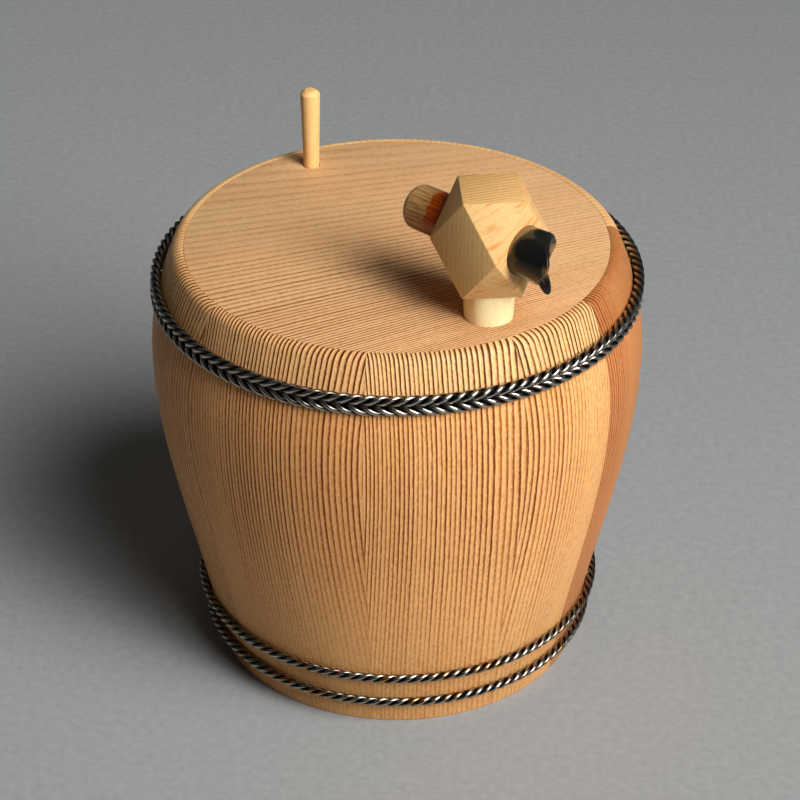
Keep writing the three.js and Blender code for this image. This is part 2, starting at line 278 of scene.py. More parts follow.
def ringed_wood(name, axes, spacing, tones, seed, contrast=1.0, crowding=0.0, wander=1.0, fades=(),
                redder=0.0, flecks=0.0, relief=0.02, end_grain=0.0, figure=None, fan=0.0, depth=1.0,
                painted_foot_shade=1.0):
    """Wood sawn across its growth rings: pale early wood darkening to a hard brown line each year.

    Axes are outward, across the rings and along them. Each fade is an axis, two places on it and the
    strength of the rings at each. A figure is the way one face looks and the axes of the red flames on it.
    """
    material, tree, shader = new_material(name)
    place = wood_frame(tree, *axes)
    parts = node(tree, "SeparateXYZ", {0: place}).outputs
    facing = node(tree, "TexCoord", {}).outputs["Normal"]
    spread = sums(tree, "MULTIPLY", sums(tree, "MULTIPLY", parts[1], parts[2]), fan)
    reach = sums(tree, "ADD", parts[1], spread)
    if crowding:
        closing = sums(tree, "EXPONENT", sums(tree, "MULTIPLY", reach, -crowding))
        reach = sums(tree, "DIVIDE", sums(tree, "SUBTRACT", 1.0, closing), crowding)
    years = sums(tree, "DIVIDE", reach, spacing)
    for rings, fineness, detail, step in STRAYING:
        stray = noise(tree, place, fineness, detail, seed + step)
        years = sums(tree, "MULTIPLY_ADD", stray, rings * wander, years)
    year = sums(tree, "FLOOR", years)
    season = sums(tree, "FRACT", years)
    harshness = node(tree, "TexWhiteNoise", {"W": sums(tree, "ADD", year, seed)},
                     noise_dimensions="1D").outputs[0]
    late = ramp(tree, season, YEAR_DARKNESS)
    strength = sums(tree, "MULTIPLY_ADD", harshness, 0.5, 0.74)
    strength = sums(tree, "MULTIPLY", strength, contrast)
    for axis, start, end, low, high in fades:
        strength = sums(tree, "MULTIPLY", strength, faded(tree, parts[axis], start, end, low, high))
    if figure:
        face, flame_axes = figure
        turned = node(tree, "VectorMath", {0: facing, 1: face}, operation="DOT_PRODUCT").outputs["Value"]
        on_face = faded(tree, turned, 0.25, 0.7, 0.0, 1.0)
        strength = sums(tree, "MULTIPLY", strength, sums(tree, "MULTIPLY_ADD", on_face, -0.85, 1.0))
    if end_grain:
        endwise = node(tree, "VectorMath", {0: facing, 1: axes[2]}, operation="DOT_PRODUCT").outputs["Value"]
        endwise = faded(tree, sums(tree, "ABSOLUTE", endwise), 0.3, 0.95, 0.0, end_grain)
        strength = sums(tree, "ADD", strength, endwise)
    dark = sums(tree, "MULTIPLY", late, strength)
    fibre = noise(tree, place, (6.0, 6.0, 0.2), 3.0, seed + 5)
    pores = noise(tree, place, (3.0, 3.0, 1.5), 3.0, seed + 6)
    dark = sums(tree, "MULTIPLY_ADD", sums(tree, "SUBTRACT", fibre, 0.5), 0.6, dark)
    dark = sums(tree, "MULTIPLY_ADD", sums(tree, "SUBTRACT", pores, 0.5), 0.9, dark)
    wood = ramp(tree, dark, [(0.0, tones[0]), (0.5, tones[1]), (1.0, tones[2])])
    broad = noise(tree, place, (0.05, 0.09, 0.02), 3.0, seed + 7)
    glow = sums(tree, "MULTIPLY_ADD", broad, 0.3 * depth, 0.85 * depth)
    # Painted shade: the wood is darkened towards the foot, where the belly of the cask shades it.
    if painted_foot_shade < 1:
        glow = sums(tree, "MULTIPLY", glow, faded(tree, parts[2], 0.0, PAINTED_SHADE_HEIGHT, painted_foot_shade, 1.0))
    if flecks:
        ray = noise(tree, place, (11.0, 0.35, 0.3), 2.0, seed + 9)
        glow = sums(tree, "MULTIPLY_ADD", sums(tree, "SUBTRACT", ray, 0.5), flecks, glow)
    shade = node(tree, "CombineXYZ", {0: glow, 1: glow, 2: glow}).outputs[0]
    wood = mixed(tree, 1.0, wood, shade, "MULTIPLY")
    blush = noise(tree, place, (0.04, 0.12, 0.015), 2.0, seed + 11)
    blush = sums(tree, "MULTIPLY_ADD", blush, 0.4, redder - 0.15)
    wood = mixed(tree, blush, wood, RED_BLUSH, "MULTIPLY")
    if figure:
        slope = wood_frame(tree, *flame_axes)
        flame = faded(tree, noise(tree, slope, (0.5, 1.5, 0.09), 3.0, seed + 13), 0.53, 0.66, 0.0, 0.75)
        wood = mixed(tree, sums(tree, "MULTIPLY", flame, on_face), wood, RED_FLAME, "MULTIPLY")
    tree.links.new(wood, shader.inputs["Base Color"])
    shader.inputs["Roughness"].default_value = 0.52
    shader.inputs["Specular IOR Level"].default_value = 0.2
    height = sums(tree, "MULTIPLY_ADD", fibre, 0.3, sums(tree, "MULTIPLY", late, 0.5))
    bump = node(tree, "Bump", {"Strength": 0.4, "Distance": relief * MM, "Height": height})
    tree.links.new(bump.outputs[0], shader.inputs["Normal"])
    return material


# Tones are early, middle and late wood. The shoulder of the lid is rubbed paler, with cleaner rings.
CEDAR_TONES = (colour(246, 189, 122), colour(208, 133, 70), colour(112, 46, 8))
RUBBED_TONES = (colour(252, 207, 144), colour(216, 152, 88), colour(88, 42, 10))
# Each stave: ring spacing, how fast the rings close up, ring contrast, redness, depth of tone, and fades,
# whose axis is 1 across the rings or 2 along them.
STAVE_GRAIN = [
    (0.74, 0.008, 1.0, 0.1, 0.95, [(2, 10.0, 52.0, 0.2, 1.0), (1, -16.0, -2.0, 0.5, 1.0)]),
    (0.75, 0.02, 1.0, 0.0, 1.0, [(2, 2.0, 50.0, 0.35, 1.0)]),
    (0.85, -0.03, 0.95, 0.0, 1.0, [(2, 2.0, 50.0, 0.35, 1.0), (1, -5.0, 5.0, 1.0, 0.35)]),
    (0.7, 0.0, 0.8, 0.4, 0.78, [(1, -14.0, -3.0, 1.0, 0.25), (2, 10.0, 50.0, 0.4, 1.0)]),
    (1.1, 0.01, 0.4, 0.1, 0.95, []),
    (1.0, 0.0, 0.35, 0.05, 1.0, []),
    (1.2, -0.01, 0.3, 0.0, 1.0, []),
    (0.9, 0.0, 0.35, 0.0, 1.0, []),
    (0.85, 0.0, 0.75, 0.05, 0.95, [(1, -9.0, 6.0, 0.3, 1.0)]),
]

RED_STAVE = 3
RED_LID_DEPTH = 0.86
QUIET_STAVES = range(4, 8)
QUIET_LID_CONTRAST = 0.55
LID_CONTRAST = 1.15
STAVE_END_GRAIN = 0.3
# How dark the painted shade at the foot of the body staves is.
FOOT_PAINTED_SHADE = 0.78

from_angle = FIRST_JOINT
for i, width in enumerate(STAVE_WIDTHS):
    middle = math.radians(from_angle + width / 2)
    outward = (math.cos(middle), math.sin(middle), 0)
    across = (-math.sin(middle), math.cos(middle), 0)
    spacing, crowding, contrast, redder, depth, fades = STAVE_GRAIN[i]
    count = round(width / STAVE_STEP)
    halves = (("body", body_profile(), CEDAR_TONES), ("lid", lid_profile(), RUBBED_TONES))
    for half, profile, tones in halves:
        shown = contrast
        if half == "lid":
            shown *= QUIET_LID_CONTRAST if i in QUIET_STAVES else LID_CONTRAST
            if i < RED_STAVE:
                fades = []
            if i == RED_STAVE:
                tones = CEDAR_TONES
                depth *= RED_LID_DEPTH
        cedar = ringed_wood(f"cedar_{half}_{i + 1}", (outward, across, (0, 0, 1)), spacing, tones,
                            seed=10.0 + 7.3 * i, contrast=shown, crowding=crowding, fades=fades,
                            redder=redder, flecks=0.18, depth=depth,
                            end_grain=STAVE_END_GRAIN * shown, painted_foot_shade=FOOT_PAINTED_SHADE)
        shape = spun(profile, from_angle + JOINT_ANGLE / 2, width - JOINT_ANGLE, count)
        made_piece(f"cedar_{half}_stave_{i + 1}", shape, cedar, half,
                   [f"{half}_stave_{i + 1}"], crease=25)
    from_angle += width

# ---------------------------------------------------------------- Base board
# A round of cedar with its edge let into the groove near the foot, where it closes the cask. It went in
# when the staves were put together, and can't be taken out.
BASE_EDGE_GAP = 0.1
base_radius = inner_radius((BASE_LOW + BASE_HIGH) / 2) + GROOVE_DEPTH - BASE_EDGE_GAP
base_profile = [(0, BASE_LOW), (base_radius, BASE_LOW), (base_radius, BASE_HIGH), (0, BASE_HIGH)]
BASE_AXES = ((0, 0, 1), (0, 1, 0), (1, 0, 0))
base_cedar = ringed_wood("cedar_base", BASE_AXES, 1.8, CEDAR_TONES, seed=91.0, contrast=0.8, redder=0.2)
made_piece("cedar_base_board", spun(base_profile, 0, 360, 144), base_cedar, "body",
           ["base_board"])

# ---------------------------------------------------------------- Seat collar
# A thin ring of cedar, turned with a rounded top and glued inside the mouth. It stands up past the seam,
# and the lid slides over it and is held by it.
COLLAR_OUTER = 32.55
COLLAR_INNER = 31.0
COLLAR_LOW = 59.8
COLLAR_HIGH = 68.6
COLLAR_ROUNDING = 0.3
collar_profile = [(COLLAR_INNER, COLLAR_LOW), (COLLAR_OUTER, COLLAR_LOW)]
rounding_height = COLLAR_HIGH - COLLAR_ROUNDING
collar_profile += arc((COLLAR_OUTER - COLLAR_ROUNDING, rounding_height), COLLAR_ROUNDING, 0, 90, 4)
collar_profile += arc((COLLAR_INNER + COLLAR_ROUNDING, rounding_height), COLLAR_ROUNDING, 90, 180, 4)
collar_cedar = ringed_wood("cedar_collar", ((1, 0, 0), (0, 0, 1), (0, 1, 0)), 1.6, CEDAR_TONES, seed=57.0,
                           contrast=0.5, redder=0.15)
made_piece("cedar_seat_collar", spun(collar_profile, 0, 360, 192), collar_cedar, "body",
           ["seat_collar"])

# ---------------------------------------------------------------- Hoops
# Ropes of three silver wires twisted hard together, closed to rings, blackened and rubbed bright on the
# crests. The two upper ones are laid up opposite ways and look like a plait, one on each side of the seam.
UPPER_ROPE_RADIUS = 0.86
LOWER_ROPE_RADIUS = 0.75
HOOP_GAP = 0.12
UPPER_TURNS = 39
POINTS_PER_TURN = 30
WIRES = 3
WIRE_SHARE = 0.5
PLAIT_GAP = 0.02
FOOT_ROPES = ((10.5, 37), (5.05, 36))
UPPER_TINT = 0.45
FOOT_TINT = 1.0


def silver(name, centre_radius, height, rope_radius, seed, tint):
    """Oxidised silver, black between the wires and worn bright where the rope stands proudest."""
    material, tree, shader = new_material(name)
    spot = node(tree, "TexCoord", {}).outputs["Object"]
    place = node(tree, "VectorMath", {0: spot, 1: (1 / MM, 1 / MM, 1 / MM)}, operation="MULTIPLY").outputs[0]
    parts = node(tree, "SeparateXYZ", {0: place}).outputs
    flat = node(tree, "VectorMath", {0: place, 1: (1, 1, 0)}, operation="MULTIPLY").outputs[0]
    reach = node(tree, "VectorMath", {0: flat}, operation="LENGTH").outputs["Value"]
    offset = sums(tree, "SUBTRACT", reach, centre_radius)
    lift = sums(tree, "SUBTRACT", parts[2], height)
    squared = sums(tree, "MULTIPLY_ADD", lift, lift, sums(tree, "MULTIPLY", offset, offset))
    crest = sums(tree, "DIVIDE", sums(tree, "SQRT", squared), rope_radius)
    rub = noise(tree, place, (0.8, 0.8, 0.8), 3.0, seed)
    crest = sums(tree, "ADD", crest, sums(tree, "MULTIPLY_ADD", rub, 0.3, -0.15))
    bright = faded(tree, crest, 0.55, 1.05, 0.0, 1.0)
    metal = ramp(tree, bright, [(0.0, colour(34, 27, 21)), (0.4, colour(88, 82, 75)),
                                (1.0, colour(205, 200, 192))])
    warmth = noise(tree, place, (0.3, 0.3, 0.3), 2.0, seed + 2)
    tarnish = ramp(tree, warmth, [(0.36, colour(232, 190, 134)), (0.46, colour(236, 226, 214)),
                                  (0.56, colour(214, 232, 232)), (0.64, colour(238, 204, 204))])
    metal = mixed(tree, tint, metal, tarnish, "MULTIPLY")
    tree.links.new(metal, shader.inputs["Base Color"])
    shader.inputs["Metallic"].default_value = 1.0
    grain = noise(tree, place, (5.0, 5.0, 5.0), 2.0, seed + 4)
    tree.links.new(sums(tree, "MULTIPLY_ADD", grain, 0.2, 0.1), shader.inputs["Roughness"])
    return material


def twisted_rope(name, seat_radius, height, rope_radius, turns, lay, body, replaced, seed, tint):
    """Round wires pressed together, drawn as one outline, spun round the cask as they twist."""
    centre = seat_radius + HOOP_GAP + rope_radius
    wire = WIRE_SHARE * rope_radius
    offset = rope_radius - wire
    apart = math.pi / WIRES
    groove = offset * math.cos(apart) + math.sqrt(wire**2 - (offset * math.sin(apart)) ** 2)
    reach = math.degrees(math.atan2(groove * math.sin(apart), groove * math.cos(apart) - offset))
    points = []
    for number in range(WIRES):
        turn = 2 * apart * number
        heart = (centre + offset * math.cos(turn), height + offset * math.sin(turn))
        points += arc(heart, wire, math.degrees(turn) - reach, math.degrees(turn) + reach, 10)[:-1]
    shape = bmesh.new()
    ring = [shape.verts.new((out, 0, up)) for out, up in points]
    outline = [shape.edges.new((a, b)) for a, b in zip(ring, ring[1:] + ring[:1])]
    one_turn = 2 * math.pi / turns
    about = {"cent": (0, 0, 0), "axis": (0, 0, 1), "dvec": (0, 0, 0), "use_merge": False}
    bmesh.ops.spin(shape, geom=ring + outline, angle=one_turn, steps=POINTS_PER_TURN, use_duplicate=False,
                   **about)
    bmesh.ops.spin(shape, geom=shape.verts[:] + shape.edges[:] + shape.faces[:],
                   angle=one_turn * (turns - 1), steps=turns - 1, use_duplicate=True, **about)
    bmesh.ops.remove_doubles(shape, verts=shape.verts, dist=1e-3)
    bmesh.ops.recalc_face_normals(shape, faces=shape.faces)
    for corner in shape.verts:
        around = math.atan2(corner.co.y, corner.co.x)
        out = math.hypot(corner.co.x, corner.co.y) - centre
        up = corner.co.z - height
        twist = lay * turns * around
        radius = centre + out * math.cos(twist) - up * math.sin(twist)
        corner.co = (radius * math.cos(around), radius * math.sin(around),
                     height + out * math.sin(twist) + up * math.cos(twist))
    metal = silver(name + "_silver", centre, height, rope_radius, seed, tint)
    made_piece(name, shape, metal, body, [replaced], crease=80)


upper_offset = UPPER_ROPE_RADIUS + PLAIT_GAP
twisted_rope("silver_rope_lid", HOOP_SEAT_RADIUS, SEAM_HEIGHT + upper_offset, UPPER_ROPE_RADIUS,
             UPPER_TURNS, 1, "lid", "upper_hoop_lid_rope", 1.0, UPPER_TINT)
twisted_rope("silver_rope_body", HOOP_SEAT_RADIUS, SEAM_HEIGHT - upper_offset, UPPER_ROPE_RADIUS,
             UPPER_TURNS, -1, "body", "upper_hoop_body_rope", 21.0, UPPER_TINT)
for i, (height, turns) in enumerate(FOOT_ROPES):
    twisted_rope(f"silver_rope_foot_{i + 1}", side_radius(height), height, LOWER_ROPE_RADIUS, turns, 1,
                 "body", f"lower_hoop_rope_{i + 1}", 41.0 + 20 * i, FOOT_TINT)

# ---------------------------------------------------------------- Lid board
# A round board of quarter-sawn cedar, glued into the rebate of the lid staves so that it lies flush with
# the rim. It is drilled with round holes for the tap's post and the vent peg.
PEG_PLACE = (-14.10, 25.23)
TAP_PLACE = (13.845, -22.243)
TAP_HOLE_RADIUS = 3.92
PEG_HOLE_RADIUS = 1.42
BOARD_EDGE_ROUNDING = 0.05
BOARD_TURN = math.radians(20)
BOARD_TONES = (colour(234, 188, 136), colour(204, 152, 100), colour(132, 82, 44))

shape = bmesh.new()
for (x, y), radius, segments in (((0, 0), BOARD_RADIUS, 192), (TAP_PLACE, TAP_HOLE_RADIUS, 72),
                                 (PEG_PLACE, PEG_HOLE_RADIUS, 40)):
    bmesh.ops.create_circle(shape, cap_ends=False, radius=radius, segments=segments,
                            matrix=Matrix.Translation((x, y, CASK_HEIGHT)))
bmesh.ops.triangle_fill(shape, use_beauty=True, use_dissolve=False, edges=shape.edges)
underside = bmesh.ops.extrude_face_region(shape, geom=shape.faces)["geom"]
underside_corners = [g for g in underside if isinstance(g, bmesh.types.BMVert)]
bmesh.ops.translate(shape, vec=(0, 0, -BOARD_THICKNESS), verts=underside_corners)
bmesh.ops.recalc_face_normals(shape, faces=shape.faces)
corner_edges = [e for e in shape.edges if len(e.link_faces) == 2 and e.calc_face_angle() > 1]
bmesh.ops.bevel(shape, geom=corner_edges, offset=BOARD_EDGE_ROUNDING, affect="EDGES", segments=2,
                profile=0.5, material=-1)
board_along = (math.cos(BOARD_TURN), math.sin(BOARD_TURN), 0)
board_across = (-math.sin(BOARD_TURN), math.cos(BOARD_TURN), 0)
board_fades = [(1, -22.0, 16.0, 1.0, 0.3), (2, 0.0, 24.0, 1.0, 0.6)]
board_cedar = ringed_wood("cedar_lid_board", ((0, 0, 1), board_across, board_along), 1.2, BOARD_TONES,
                          seed=33.0, contrast=1.0, crowding=0.031, fades=board_fades, redder=0.02,
                          relief=0.03, fan=0.0053, depth=1.05)
made_piece("cedar_lid_board", shape, board_cedar, "lid", ["lid_board"])

# ---------------------------------------------------------------- Vent peg
# A slim peg turned from pale wood, with a softly rounded head and a thinner foot. It is pushed through its
# hole in the lid board and pulls out by hand.
PEG_TOP = 13.7
PEG_TOP_RADIUS = 1.6
PEG_FOOT_RADIUS = 1.2
PEG_BELOW = 4.0
PEG_FOOT_CHAMFER = 0.15
PEG_HEAD_ROUNDING = 0.3
PEG_HEAD_INSET = 0.85
PEG_HEAD_DROP = 0.75
PALE_TONES = (colour(252, 206, 137), colour(236, 180, 108), colour(188, 126, 64))
peg_profile = [(0, -PEG_BELOW), (PEG_FOOT_RADIUS - PEG_FOOT_CHAMFER, -PEG_BELOW)]
peg_profile += [(PEG_FOOT_RADIUS, -PEG_BELOW + PEG_FOOT_CHAMFER)]
head_side = (PEG_TOP_RADIUS - PEG_HEAD_ROUNDING, PEG_TOP - PEG_HEAD_DROP)
head_top = (PEG_TOP_RADIUS - PEG_HEAD_INSET, PEG_TOP - PEG_HEAD_ROUNDING)
peg_profile += arc(head_side, PEG_HEAD_ROUNDING, 0, 45, 3)
peg_profile += arc(head_top, PEG_HEAD_ROUNDING, 45, 90, 3)
peg_profile += [(0, PEG_TOP)]
shape = spun(peg_profile, 0, 360, 48)
bmesh.ops.translate(shape, vec=(*PEG_PLACE, CASK_HEIGHT), verts=shape.verts)
peg_wood = ringed_wood("pale_peg", ((1, 0, 0), (0, 1, 0), (0, 0, 1)), 0.9, PALE_TONES, seed=71.0,
                       contrast=0.5, relief=0.01)
made_piece("pale_vent_peg", shape, peg_wood, "peg", ["vent_peg"])

# ---------------------------------------------------------------- Tap post
# A round post turned from pale wood, a little narrower where it goes down through the lid board, in which
# it turns. A tenon on top of it is glued up into the block.
POST_HEIGHT = 5.4
POST_RADIUS = 3.95
POST_FOOT_RADIUS = 3.8
POST_LOW = -4.5
POST_FOOT_CHAMFER = 0.3
POST_TOP_CHAMFER = 0.15
TENON_RADIUS = 2.4
TENON_TOP = 8.3
BLOCK_GAP = 0.05
RING_TURN = math.radians(18)
POST_TONES = (colour(255, 238, 184), colour(249, 218, 160), colour(222, 180, 124))
tap_turn = math.radians(-41.1)
tap_matrix = Matrix.Translation((*TAP_PLACE, CASK_HEIGHT)) @ Matrix.Rotation(tap_turn, 4, "Z")
post_top = POST_HEIGHT - BLOCK_GAP
post_profile = [(0, POST_LOW), (POST_FOOT_RADIUS - POST_FOOT_CHAMFER, POST_LOW)]
post_profile += [(POST_FOOT_RADIUS, POST_LOW + POST_FOOT_CHAMFER), (POST_FOOT_RADIUS, 0)]
post_profile += [(POST_RADIUS, post_top - POST_TOP_CHAMFER), (POST_RADIUS - POST_TOP_CHAMFER, post_top)]
post_profile += [(TENON_RADIUS, post_top), (TENON_RADIUS, TENON_TOP), (0, TENON_TOP)]
shape = spun(post_profile, 0, 360, 72)
bmesh.ops.transform(shape, matrix=tap_matrix, verts=shape.verts)
ring_cosine, ring_sine = math.cos(RING_TURN), math.sin(RING_TURN)
block_axes = ((ring_cosine, ring_sine, 0), (-ring_sine, ring_cosine, 0), (0, 0, 1))
post_wood = ringed_wood("pale_post", block_axes, 2.2, POST_TONES, seed=13.0, contrast=0.4, relief=0.01,
                        redder=-0.1, depth=1.12)
made_piece("pale_tap_post", shape, post_wood, "tap", ["tap_post"])

# ---------------------------------------------------------------- Tap block
# A block of pale wood, taller than wide, with its corners sawn off flat: four diamonds, eight triangles
# and a square at each end. It is bored through for the horn and from below for the tenon of the post.
BLOCK_HEIGHT = 16.1
BLOCK_HALF = 6.39
BLOCK_EDGE_ROUNDING = 0.09
HORN_BORE = 3.86
HORN_BORE_LENGTH = 40
MORTISE_GAP = 0.03
MORTISE_SPARE = 0.1
MORTISE_LENGTH = 10
FLAME_RISE = math.radians(26)
block_middle = POST_HEIGHT + BLOCK_HEIGHT / 2


def baked(piece):
    """The piece's mesh with its modifiers applied, as a shape to go on working on."""
    mesh = bpy.data.meshes.new_from_object(piece.evaluated_get(bpy.context.evaluated_depsgraph_get()))
    shape = bmesh.new()
    shape.from_mesh(mesh)
    bpy.data.meshes.remove(mesh)
    bpy.data.objects.remove(piece)
    return shape


def blank(name, shape):
    """A workpiece or a cutter, in millimetres, that is gone once the piece is made."""
    mesh = bpy.data.meshes.new(name)
    shape.to_mesh(mesh)
    shape.free()
    piece = bpy.data.objects.new(name, mesh)
    bpy.context.collection.objects.link(piece)
    return piece


def worked(piece, operation, cutter):
    """Joins, cuts or trims a workpiece with another one."""
    cut = piece.modifiers.new(cutter.name, "BOOLEAN")
    cut.operation = operation
    cut.solver = "EXACT"
    cut.object = cutter


shape = bmesh.new()
for quarter in range(4):
    turn = quarter * math.pi / 2
    x, y = BLOCK_HALF * math.cos(turn), BLOCK_HALF * math.sin(turn)
    shape.verts.new((x, y, POST_HEIGHT))
    shape.verts.new((x, y, POST_HEIGHT + BLOCK_HEIGHT))
    shape.verts.new((x - y, x + y, block_middle))
bmesh.ops.convex_hull(shape, input=shape.verts)
bmesh.ops.dissolve_limit(shape, angle_limit=math.radians(1), verts=shape.verts, edges=shape.edges)
bmesh.ops.bevel(shape, geom=shape.edges[:], offset=BLOCK_EDGE_ROUNDING, affect="EDGES", segments=2,
                profile=0.5, material=-1)
block = blank("block", shape)
along_horn = Matrix.Translation((0, 0, block_middle)) @ Matrix.Rotation(math.pi / 2, 4, "Y")
shape = bmesh.new()
bmesh.ops.create_cone(shape, cap_ends=True, segments=72, radius1=HORN_BORE, radius2=HORN_BORE,
                      depth=HORN_BORE_LENGTH, matrix=along_horn)
bore = blank("bore", shape)
shape = bmesh.new()
mortise_radius = TENON_RADIUS + MORTISE_GAP
mortise_middle = Matrix.Translation((0, 0, TENON_TOP + MORTISE_SPARE - MORTISE_LENGTH / 2))
bmesh.ops.create_cone(shape, cap_ends=True, segments=48, radius1=mortise_radius, radius2=mortise_radius,
                      depth=MORTISE_LENGTH, matrix=mortise_middle)
mortise = blank("mortise", shape)
worked(block, "DIFFERENCE", bore)
worked(block, "DIFFERENCE", mortise)
shape = baked(block)
for cutter in (bore, mortise):
    bpy.data.objects.remove(cutter)
bmesh.ops.transform(shape, matrix=tap_matrix, verts=shape.verts)
forward = (math.cos(tap_turn), math.sin(tap_turn), 0)
sideways = (-math.sin(tap_turn), math.cos(tap_turn), 0)
flame_level = math.cos(FLAME_RISE)
flame_along = (sideways[0] * flame_level, sideways[1] * flame_level, math.sin(FLAME_RISE))
flame_across = tuple(Vector(flame_along).cross(forward))
block_wood = ringed_wood("pale_block", block_axes, 0.8, PALE_TONES, seed=23.0, contrast=0.3, wander=1.5,
                         relief=0.012, depth=0.86, end_grain=0.35,
                         figure=(forward, (forward, flame_across, flame_along)))
made_piece("pale_tap_block", shape, block_wood, "tap", ["tap_block"])

# ---------------------------------------------------------------- Horn spout
# One round piece of polished horn, tight in the bore and run right through the block: pale at the butt,
# amber, then black. Its end is cut on a slant, scooped hollow and left with a drip tongue below.
HORN_REAR_RADIUS = 3.5
HORN_FRONT_RADIUS = 3.8
HORN_BACK = -15.0
HORN_MOUTH = 16.0  # before its end is cut
HORN_ROUNDING = 1.5
MOUTH_FLARE = 0.4
SLANT = -0.6
BOW = 0.045
CUT_HALF = 8
CUT_SLICES = 15
# The end cut in side view: a blunt nose above, a hollow below it.
END_CUT = [(7.8, 6.0), (9.8, 4.3), (11.1, 3.5), (12.0, 2.5), (12.4, 1.5), (12.3, 0.5), (11.6, -0.5),
           (10.8, -1.5), (10.1, -2.5), (9.7, -3.5), (9.6, -6.0)]
CUT_BACK = -20.0
TONGUE_PLACE = (10.0, 0.0, -3.1)
TONGUE_LEAN = math.radians(-28)
TONGUE_HALF_SIZE = (0.7, 1.2, 3.0)
HOLLOW_PLACE = (12.3, 0.2, 0.3)
HOLLOW_HALF_SIZE = (2.1, 3.9, 3.0)
CARVING_FINENESS = 0.16

horn_profile = [(0, HORN_BACK)]
horn_profile += arc((HORN_REAR_RADIUS - HORN_ROUNDING, HORN_BACK + HORN_ROUNDING), HORN_ROUNDING, -90, 0, 8)
horn_profile += [(HORN_FRONT_RADIUS, BLOCK_HALF), (HORN_FRONT_RADIUS + MOUTH_FLARE, HORN_MOUTH)]
horn_profile += [(0, HORN_MOUTH)]
shape = spun(horn_profile, 0, 360, 96)
bmesh.ops.rotate(shape, matrix=Matrix.Rotation(math.pi / 2, 3, "Y"), verts=shape.verts)
horn = blank("horn", shape)
shape = bmesh.new()
outline = [(CUT_BACK, END_CUT[-1][1]), *reversed(END_CUT), (CUT_BACK, END_CUT[0][1])]
side = shape.faces.new([shape.verts.new((x, -CUT_HALF, z)) for x, z in outline])
far_side = bmesh.ops.extrude_face_region(shape, geom=[side])["geom"]
far_corners = [g for g in far_side if isinstance(g, bmesh.types.BMVert)]
bmesh.ops.translate(shape, vec=(0, 2 * CUT_HALF, 0), verts=far_corners)
lengthwise = [e for e in shape.edges if abs(e.verts[0].co.y - e.verts[1].co.y) > CUT_HALF]
bmesh.ops.subdivide_edges(shape, edges=lengthwise, cuts=CUT_SLICES)
for corner in shape.verts:
    if corner.co.x > 0:
        corner.co.x += SLANT * corner.co.y - BOW * corner.co.y**2
bmesh.ops.recalc_face_normals(shape, faces=shape.faces)
end_cut = blank("end_cut", shape)
worked(horn, "INTERSECT", end_cut)
shape = bmesh.new()
bmesh.ops.create_uvsphere(shape, u_segments=32, v_segments=20, radius=1.0,
                          matrix=Matrix.Translation(TONGUE_PLACE) @ Matrix.Rotation(TONGUE_LEAN, 4, "Y")
                          @ Matrix.Diagonal((*TONGUE_HALF_SIZE, 1)))
tongue = blank("tongue", shape)
worked(horn, "UNION", tongue)
shape = bmesh.new()
bmesh.ops.create_uvsphere(shape, u_segments=32, v_segments=20, radius=1.0,
                          matrix=Matrix.Translation(HOLLOW_PLACE) @ Matrix.Rotation(-math.atan(SLANT), 4, "Z")
                          @ Matrix.Diagonal((*HOLLOW_HALF_SIZE, 1)))
hollow = blank("hollow", shape)
worked(horn, "DIFFERENCE", hollow)
carving = horn.modifiers.new("carving", "REMESH")
carving.mode = "VOXEL"
carving.voxel_size = CARVING_FINENESS
rubbing = horn.modifiers.new("rubbing", "SMOOTH")
rubbing.factor = 0.5
rubbing.iterations = 5
shape = baked(horn)
for cutter in (end_cut, tongue, hollow):
    bpy.data.objects.remove(cutter)
bmesh.ops.translate(shape, vec=(0, 0, block_middle), verts=shape.verts)
bmesh.ops.transform(shape, matrix=tap_matrix, verts=shape.verts)
horn_material, tree, shader = new_material("horn")
place = wood_frame(tree, forward, sideways, (0, 0, 1), centre=(*TAP_PLACE, CASK_HEIGHT + block_middle))
parts = node(tree, "SeparateXYZ", {0: place}).outputs
ripple = noise(tree, place, (0.2, 0.8, 0.8), 3.0, 5.0)
along = sums(tree, "MULTIPLY_ADD", ripple, 2.6, sums(tree, "SUBTRACT", parts[0], 1.3))
share = node(tree, "MapRange", {0: along, 1: -15.0, 2: 13.0, 3: 0.0, 4: 1.0}).outputs[0]
horn_tone = ramp(tree, share, [(0.0, colour(204, 162, 104)), (0.17, colour(188, 138, 80)),
                               (0.18, colour(180, 76, 6)), (0.32, colour(136, 48, 2)),
                               (0.6, colour(60, 26, 8)), (0.66, colour(30, 30, 26)),
                               (1.0, colour(24, 25, 24))])
streaks = noise(tree, place, (0.3, 3.6, 3.6), 3.0, 8.0)
pale_part = faded(tree, along, -8.5, -7.0, 1.0, 0.15)
streaks = sums(tree, "MULTIPLY", faded(tree, streaks, 0.42, 0.62, 0.0, 0.65), pale_part)
# Painted shade: the horn is darkened along its lower side.
painted_lower_shade = faded(tree, parts[2], -2.6, 2.0, 0.75, 0.0)
horn_tone = mixed(tree, painted_lower_shade, horn_tone, colour(178, 124, 62), "MULTIPLY")
horn_tone = mixed(tree, streaks, horn_tone, colour(150, 112, 66), "MULTIPLY")
# Brown patches: the horn's own mottling where it meets the block, and along the lip of the slanted end a
# painted glow of light through the thin horn.
patches = noise(tree, place, (0.45, 0.45, 0.45), 2.0, 31.0)
blotch = sums(tree, "MULTIPLY_ADD", patches, 2.4, -1.2)
root_reach = sums(tree, "MULTIPLY_ADD", parts[2], -0.5, sums(tree, "ADD", parts[0], blotch))
near_root = sums(tree, "MULTIPLY", faded(tree, root_reach, 5.4, 6.0, 1.0, 0.0),
                 faded(tree, parts[2], -1.5, 0.5, 0.0, 1.0))
past_slant = sums(tree, "MULTIPLY_ADD", parts[1], -SLANT, sums(tree, "ADD", parts[0], blotch))
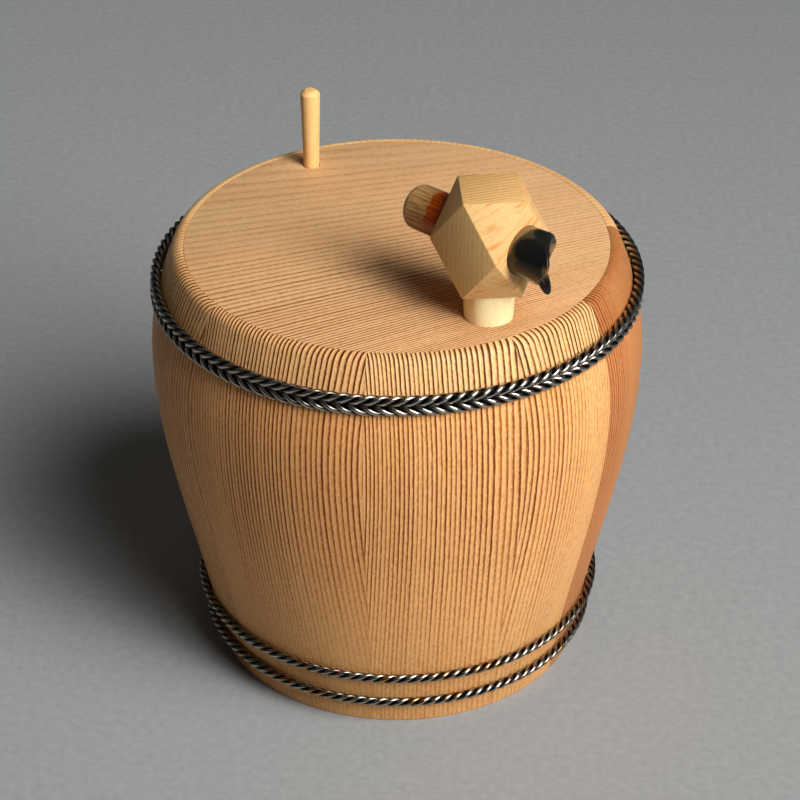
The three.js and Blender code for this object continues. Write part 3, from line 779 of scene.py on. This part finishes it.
# Painted glow of light shining through the thin lip of the slanted end.
painted_lip_glow = sums(tree, "MULTIPLY", faded(tree, past_slant, 10.6, 11.3, 0.0, 1.0),
                faded(tree, parts[2], 0.8, 1.8, 1.0, 0.0))
painted_lip_glow = sums(tree, "MULTIPLY", painted_lip_glow, faded(tree, parts[2], -3.6, -2.6, 0.0, 1.0))
mottle_and_lip_glow = sums(tree, "MULTIPLY", sums(tree, "MAXIMUM", near_root, painted_lip_glow),
              faded(tree, parts[0], 5.5, 6.2, 0.0, 0.9))
horn_tone = mixed(tree, mottle_and_lip_glow, horn_tone, colour(140, 104, 62))
tree.links.new(horn_tone, shader.inputs["Base Color"])
shader.inputs["Roughness"].default_value = 0.22
shader.inputs["Specular IOR Level"].default_value = 0.35
shader.inputs["Coat Weight"].default_value = 0.2
shader.inputs["Coat Roughness"].default_value = 0.08
made_piece("horn_tap_spout", shape, horn_material, "tap", ["horn_spout"], crease=60)

# ---------------------------------------------------------------- Table and light
# A plain pale table. A broad soft light stands high on the right and in front, a smaller one lower on the
# same side, and a weak one overhead, with a faint warm fill all round.
TABLE_HALF = 2.0
TABLE_TONES = (colour(150, 153, 153), colour(162, 164, 164))
shape = bmesh.new()
bmesh.ops.create_grid(shape, x_segments=1, y_segments=1, size=TABLE_HALF)
table_mesh = bpy.data.meshes.new("table")
shape.to_mesh(table_mesh)
shape.free()
table_material, tree, shader = new_material("pale_table")
spot = node(tree, "TexCoord", {}).outputs["Object"]
place = node(tree, "VectorMath", {0: spot, 1: (1 / MM, 1 / MM, 1 / MM)}, operation="MULTIPLY").outputs[0]
tooth = noise(tree, place, (0.7, 0.7, 0.7), 4.0, 2.0)
table_tone = ramp(tree, tooth, [(0.3, TABLE_TONES[0]), (0.7, TABLE_TONES[1])])
tree.links.new(table_tone, shader.inputs["Base Color"])
shader.inputs["Roughness"].default_value = 0.8
table_mesh.materials.append(table_material)
table = bpy.data.objects.new("table", table_mesh)
bpy.context.collection.objects.link(table)


def area_light(name, place, target, size, power, spread):
    """A round soft light of a size in metres, turned to face its target, with the spread in degrees."""
    lamp = bpy.data.lights.new(name, "AREA")
    lamp.shape = "DISK"
    lamp.size = size
    lamp.energy = power
    lamp.spread = math.radians(spread)
    light = bpy.data.objects.new(name, lamp)
    light.location = place
    light.rotation_euler = (Vector(target) - Vector(place)).to_track_quat("-Z", "Y").to_euler()
    bpy.context.collection.objects.link(light)


area_light("key", place=(0.62, -0.62, 0.93), target=(0, -0.02, 0.05), size=1.0, power=2.65, spread=52)
area_light("top_fill", place=(0.0, 0.25, 0.75), target=(0, 0, 0.07), size=0.6, power=0.09, spread=180)
area_light("low_key", place=(0.47, -0.46, 0.37), target=(0, 0, 0.07), size=0.24, power=2.0, spread=180)
world = bpy.data.worlds.new("studio")
world.use_nodes = True
surround = world.node_tree.nodes["Background"]
surround.inputs["Color"].default_value = (1.0, 0.97, 0.93, 1)
surround.inputs["Strength"].default_value = 0.036
bpy.context.scene.world = world
